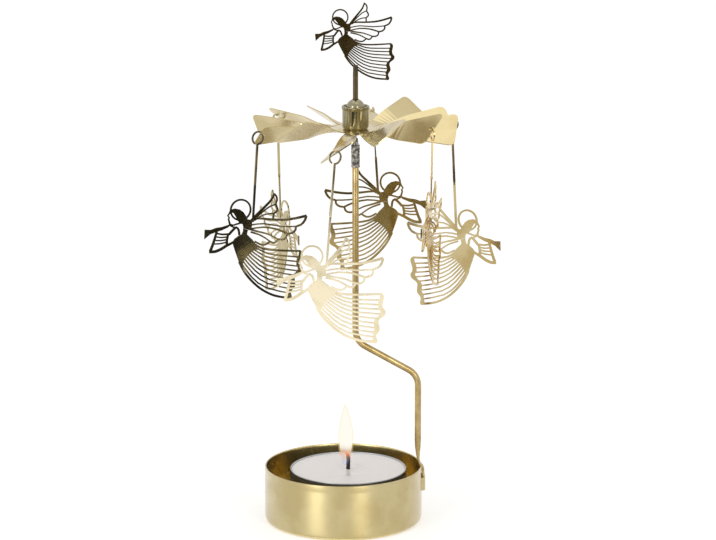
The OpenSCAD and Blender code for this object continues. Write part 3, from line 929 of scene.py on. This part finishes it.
@dataclass
class WireStand:
    """The bent wire, flattened below into the tang that the strap holds."""

    d: float = 2.1
    bend_r: float = 6.0
    corners: tuple[Point, ...] = ((4.0, 121.5), (4.0, 60.3), (24.4, 48.9), (24.4, 27.0))
    tang_w: float = 3.0
    tang_t: float = 0.85
    tang_x: float = 26.225
    tang_low: float = 10.0
    # The crank over the notch: each point's place past the wire, its height, and how flat it is, from 0 to 1
    crank: tuple[tuple[float, float, float], ...] = (
        (0.0, 24.6, 0.2), (0.05, 22.4, 0.6), (0.15, 20.6, 1.0), (0.45, 19.2, 1.0), (0.95, 18.5, 1.0),
        (1.4, 18.0, 1.0),
    )

    def path(self) -> list[tuple[Vector, Vector]]:
        """Middles and directions along the wire, with its two bends rounded.

        Returns:
            The points from the mast's top downwards.
        """
        flat = [Vector((x, 0.0, z)) for x, z in self.corners]
        line = [(flat[0], (flat[1] - flat[0]).normalized())]
        for before, corner, after in zip(flat, flat[1:], flat[2:]):
            come, go = (corner - before).normalized(), (after - corner).normalized()
            cut = self.bend_r * math.tan(come.angle(go) / 2)
            start = corner - come * cut
            side = (go - come * come.dot(go)).normalized()
            for i in range(13):
                turn = come.angle(go) * i / 12
                sine, cosine = math.sin(turn), math.cos(turn)
                where = start + come * self.bend_r * sine + side * self.bend_r * (1 - cosine)
                line.append((where, come * cosine + side * sine))
        line.append((flat[-1], (flat[-1] - flat[-2]).normalized()))
        return line

    def tang(self) -> list[Station]:
        """Stations of the flattened end: over the notch and down outside the wall."""
        points = [(self.corners[-1][0] + past, z, flat) for past, z, flat in self.crank]
        points += [(self.tang_x - 0.1, 17.2, 1.0), (self.tang_x, 16.0, 1.0), (self.tang_x, 12.0, 1.0)]
        points += [(self.tang_x, self.tang_low + 0.5, 1.0), (self.tang_x, self.tang_low, 0.9)]
        stations = []
        for i, (x, z, flat) in enumerate(points):
            last, following = points[max(0, i - 1)], points[min(len(points) - 1, i + 1)]
            along = Vector((following[0] - last[0], 0.0, following[1] - last[1])).normalized()
            width = self.d + (self.tang_w - self.d) * flat
            thick = self.d + (self.tang_t - self.d) * flat
            stations.append((Vector((x, 0.0, z)), along, width, thick, flat))
        return stations

    def build(self) -> None:
        """Builds the stand and rides it on the base."""
        stations = [(middle, along, self.d, self.d, 0.0) for middle, along in self.path()] + self.tang()
        bm = bmesh.new()
        Maker.loft(bm, stations, 28)
        ends = [e for e in bm.edges if e.is_manifold and e.calc_face_angle() > math.radians(70)]
        Maker.rounded(bm, ends, 0.2, 3)
        settle(Maker.object(bm, "bent_wire", FINISH.wire, 40.0), "base", "wire_gold", "stand_wire")


@dataclass
class Pivot:
    """The crimped sleeve on the mast and the needle in it."""

    x: float = 4.0
    mast_top: float = 121.5
    sleeve_r: float = 1.45
    bore_r: float = 1.07
    sleeve_lap: float = 3.5
    sleeve_rise: float = 3.8
    cone_h: float = 2.2
    needle_r: float = 0.45

    def build(self) -> None:
        """Builds the sleeve and dresses the needle."""
        low, top = self.mast_top - self.sleeve_lap, self.mast_top + self.sleeve_rise
        r = self.sleeve_r
        outside = [(r - 0.12, low), (r, low + 0.15)]
        for i in range(1, 24):
            z = low + (top - low) * i / 24
            outside.append((r - 0.1 * (0.5 + 0.5 * math.cos(i * 2.1)), z))
        hole = self.needle_r + 0.02
        profile = (
            [(hole, self.mast_top + 0.1), (self.bore_r, self.mast_top - 0.1), (self.bore_r, low)]
            + outside
            + [(r, top - 0.1), (r - 0.15, top), (r * 0.72, top + 0.05)]
            + [(self.needle_r + 0.25, top + self.cone_h), (hole, top + self.cone_h)]
        )
        bm = Maker.turned(profile, self.x, 48, closed=True)
        for vert in bm.verts:
            side = math.atan2(vert.co.y, vert.co.x - self.x)
            away = Vector((vert.co.x - self.x, vert.co.y)).length
            if low + 0.2 < vert.co.z < top - 0.2 and away > 1.2:
                pull = 1 - 0.035 * (0.5 + 0.5 * math.cos(6 * side + vert.co.z * 1.7))
                vert.co.x, vert.co.y = self.x + (vert.co.x - self.x) * pull, vert.co.y * pull
        sleeve = Maker.object(bm, "crimped_sleeve", FINISH.sleeve, 25.0)
        settle(sleeve, "base", "sleeve_steel", "needle_sleeve")
        dress("pivot_needle", FINISH.needle)


@dataclass
class Hub:
    """The polished brass hub, its dome, its bearing and the flange below the fan."""

    x: float = 4.0
    fan_top: float = 130.55
    fan_t: float = 0.35
    r: float = 4.3
    h: float = 7.55
    wall: float = 1.0
    rim_h: float = 0.5
    dome_r: float = 3.05
    dome_h: float = 2.7
    flange_t: float = 1.2
    flange_bore: float = 1.8
    neck_h: float = 1.35
    stem_r: float = 0.85

    @property
    def seat(self) -> float:
        """Height at which the dome sits inside the rim."""
        return self.fan_top + self.h - self.rim_h

    def turn(self, profile: list[Point], name: str, node: str, steps: int, angle: float) -> None:
        """Turns one brass piece and rides it on the rotor.

        Args:
            profile: Its section, a closed ring.
            name: The piece's name.
            node: The CAD node that it stands for.
            steps: Faces round its axis.
            angle: Edges sharper than this many degrees stay sharp.
        """
        bm = Maker.turned(profile, self.x, steps, closed=True)
        settle(Maker.object(bm, name, FINISH.brass, angle), "rotor", "hub_brass", node)

    def build(self) -> None:
        """Builds the hub's pieces and rides them on the rotor."""
        top, bore, hole = self.fan_top + self.h, self.r - self.wall, self.stem_r + 0.02
        shell = (
            [(bore, self.seat - 1.0), (bore, self.fan_top), (self.r - 0.6, self.fan_top)]
            + [(self.r - 0.35, self.fan_top + 0.25)]
            + arc(self.r - 0.7, self.fan_top + 0.95, 0.65, -55, 0, 5)
            + [(self.r - 0.05, top - 1.5), (self.r - 0.05, top - 1.25), (self.r + 0.16, top - 1.0)]
            + arc(self.r, top - 0.24, 0.2, -20, 90, 4)
            + [(self.r - 0.35, top - 0.06), (self.r - 0.45, top - 0.2), (self.r - 0.45, self.seat)]
            + [(hole, self.seat), (hole, self.seat - 1.0)]
        )
        self.turn(shell, "hub_barrel", "hub_shell", 96, 38.0)
        ball = (self.dome_h**2 + self.dome_r**2) / (2 * self.dome_h)
        middle = self.seat + self.dome_h - ball
        edge = math.degrees(math.asin((self.seat + 0.25 - middle) / ball))
        dome = (
            [(hole, self.seat + 0.02), (self.dome_r - 0.05, self.seat + 0.02)]
            + arc(0.0, middle, ball, edge, 74, 12)
            + [(self.stem_r + 0.25, middle + ball - 0.02), (hole, middle + ball - 0.15)]
        )
        self.turn(dome, "hub_cap", "hub_dome", 96, 50.0)
        low = self.fan_top - self.fan_t - self.flange_t
        flange = (
            [(self.flange_bore, low)]
            + arc(self.r - 1.0, low + 0.3, 0.3, -90, 0, 4)
            + [(self.r - 0.7, low + self.flange_t - 0.02), (bore - 0.02, low + self.flange_t - 0.02)]
            + [(bore - 0.02, self.fan_top + self.neck_h), (self.flange_bore, self.fan_top + self.neck_h)]
        )
        self.turn(flange, "fan_flange", "fan_rivet", 64, 38.0)
        dress("bearing_cup", FINISH.brass)


@dataclass
class Fan:
    """The stamped twelve-blade fan."""

    rounding: float = 0.06

    def build(self) -> None:
        """Smooths the fan's sheet and rides it on the rotor."""
        settle(Maker.copy_of("fan", FINISH.fan, self.rounding), "rotor", "fan_gold", "fan")


class PaintedReflection(Enum):
    """Painted reflection: the angels are one gold, and each colour and its duller shade stand in for how much
    light the surroundings throw back from a sheet.
    """

    CREAM = ("efe2c2", "e5d7b0")
    LIGHT = ("b9ab80", "a6966a")
    AMBER = ("cfb67c", "c0a05e")
    TAN = ("c2b185", "b09b69")
    OLIVE = ("938c72", "7b745a")
    DARK = ("a8935f", "8c7847")


@dataclass
class StampedAngels:
    """The six hung angels and the one on top, each cut from mirror-bright sheet."""

    # Each angel's colour is painted reflection of its surroundings on the same gold sheet
    tones: dict[str, PaintedReflection] = field(
        default_factory=lambda: {
            "angel_a": PaintedReflection.OLIVE, "angel_b": PaintedReflection.CREAM, "angel_c": PaintedReflection.LIGHT,
            "angel_d": PaintedReflection.DARK, "angel_e": PaintedReflection.AMBER, "angel_f": PaintedReflection.TAN,
            "topper_angel": PaintedReflection.DARK,
        }
    )
    rough: float = 0.07
    stem_rounding: float = 0.08

    def sheet(self, node: str, light: PaintedReflection) -> MetalFinish:
        """The mirror-gold finish of one angel's sheet, with its painted reflection tone."""
        colour, shade = (tone(code) for code in light.value)
        return MetalFinish(
            "sheet_painted_reflection_" + node, colour, shade, self.rough, 0.08, Grain.EVEN, 0.002, 0.05, 14.0, 8.0
        )

    def build(self) -> None:
        """Dresses the angels and the top angel's stem."""
        for node, light in self.tones.items():
            dress(node, self.sheet(node, light))
        stem = Maker.copy_of("topper_stem", FINISH.stem, self.stem_rounding)
        settle(stem, "rotor", "wire_gold", "topper_stem")


@dataclass(frozen=True)
class Lamp:
    """A soft rectangular lamp.

    Attributes:
        name: Its name.
        where: Its place in metres.
        size: Its width and height in metres.
        power: Its power in watts.
    """

    name: str
    where: tuple[float, float, float]
    size: Point
    power: float


@dataclass
class Studio:
    """The camera, the pale floor, the soft lamps and the white surroundings."""

    eye: tuple[float, float, float] = (0.0048, -1.1, 0.338)
    target: tuple[float, float, float] = (0.0048, 0.0, 0.084)
    lens: float = 175.2
    soft_light: float = 0.62
    floor_glow: float = 0.47
    floor_r: float = 4000.0
    floor_paper: Colour = (0.72, 0.72, 0.715, 1.0)
    room_tone: Colour = tone("454138")
    # Outline on the floor of the unlit room in front of the table, in metres
    room: tuple[Point, ...] = (
        (-0.9, -0.368), (-0.1, -0.368), (-0.06, -0.5), (0.06, -0.5), (0.1, -0.36), (0.115, -0.225),
        (0.15, -0.19), (0.33, -0.24), (0.4, -0.08), (0.66, -0.08), (0.9, -0.9), (0.9, -2.4), (-0.9, -2.4),
    )
    lamps: tuple[Lamp, ...] = (
        Lamp("softbox_left", (-1.64, -2.02, 0.75), (0.95, 1.5), 20.0),
        Lamp("softbox_right", (1.14, -2.33, 0.75), (0.8, 1.5), 14.0),
        Lamp("softbox_top", (0.1, 0.2, 1.7), (1.8, 1.8), 5.0),
    )
    lamp_aim: tuple[float, float, float] = (0.0, 0.0, 0.06)

    def camera(self) -> None:
        """Adds the camera of the photograph."""
        data = bpy.data.cameras.new("photo_camera")
        data.lens, data.sensor_width = self.lens, 36.0
        data.clip_start, data.clip_end = 0.05, 50.0
        made = bpy.data.objects.new("photo_camera", data)
        bpy.context.scene.collection.objects.link(made)
        made.location = self.eye
        aim = Vector(self.target) - Vector(self.eye)
        made.rotation_euler = aim.to_track_quat("-Z", "Y").to_euler()
        bpy.context.scene.camera = made

    def seen(self, graph: Graph) -> Val:
        """1 for rays that show the background: from the camera, or by way of metal and glass."""
        kinds = ("Camera", "Glossy", "Transmission")
        rays = [graph.node("ShaderNodeLightPath", out=f"Is {kind} Ray") for kind in kinds]
        return rays[0].either(rays[1]).either(rays[2])

    def world(self) -> None:
        """Gives the scene its white surroundings and an even soft light."""
        made = bpy.data.worlds.new("white_room")
        made.use_nodes = True
        graph = Graph(made.node_tree)
        strength = self.seen(graph) * (1 - self.soft_light) + self.soft_light
        sky = graph.node("ShaderNodeBackground", sockets={"Color": WHITE, "Strength": strength})
        graph.node("ShaderNodeOutputWorld", sockets={"Surface": sky})
        bpy.context.scene.world = made

    def floor(self) -> None:
        """Adds the plain pale floor, which keeps the object's shadow."""
        bm = bmesh.new()
        bmesh.ops.create_circle(bm, cap_ends=True, segments=96, radius=self.floor_r)
        bmesh.ops.translate(bm, vec=(0.0, 0.0, -0.02), verts=bm.verts)
        material = bpy.data.materials.new("floor_white")
        material.use_nodes = True
        graph = Graph(material.node_tree)
        paper = graph.node("ShaderNodeBsdfDiffuse", sockets={"Color": self.floor_paper})
        strength = self.seen(graph) * self.floor_glow
        glow = graph.node("ShaderNodeEmission", sockets={"Color": WHITE, "Strength": strength})
        both = graph.node("ShaderNodeAddShader", sockets={0: paper, 1: glow})
        graph.node("ShaderNodeOutputMaterial", sockets={"Surface": both})
        Maker.object(bm, "floor", material)

    def dark_room(self) -> None:
        """Adds the unlit room beyond the table's front edge, which only bright metal shows."""
        bm = bmesh.new()
        bm.faces.new([bm.verts.new((x / MM, y / MM, 0.5)) for x, y in self.room])
        material = bpy.data.materials.new("unlit_room")
        material.use_nodes = True
        graph = Graph(material.node_tree)
        dark = graph.node("ShaderNodeBsdfDiffuse", sockets={"Color": self.room_tone})
        graph.node("ShaderNodeOutputMaterial", sockets={"Surface": dark})
        card = Maker.object(bm, "unlit_room", material)
        card.visible_camera = card.visible_diffuse = card.visible_shadow = card.visible_transmission = False

    def light(self, lamp: Lamp) -> None:
        """Adds one soft lamp.

        Args:
            lamp: Its place, size and power.
        """
        data = bpy.data.lights.new(lamp.name, "AREA")
        data.shape, data.energy = "RECTANGLE", lamp.power
        data.size, data.size_y = lamp.size
        made = bpy.data.objects.new(lamp.name, data)
        bpy.context.scene.collection.objects.link(made)
        made.location = lamp.where
        aim = Vector(self.lamp_aim) - Vector(lamp.where)
        made.rotation_euler = aim.to_track_quat("-Z", "Y").to_euler()

    def build(self) -> None:
        """Sets the stage."""
        self.camera()
        self.world()
        self.floor()
        self.dark_room()
        for lamp in self.lamps:
            self.light(lamp)


def main() -> None:
    """Builds the stage and every sub-assembly in order."""
    bpy.context.scene.view_settings.view_transform = "Standard"
    Studio().build()
    parts = [DrawnCup(), Tealight(), WireStand(), Pivot(), Hub(), Fan(), StampedAngels()]
    for part in parts:
        LOG.info("building %s", type(part).__name__)
        part.build()


if __name__ == "__main__":
    logging.basicConfig(level=logging.INFO, format="%(name)s: %(message)s")
    main()
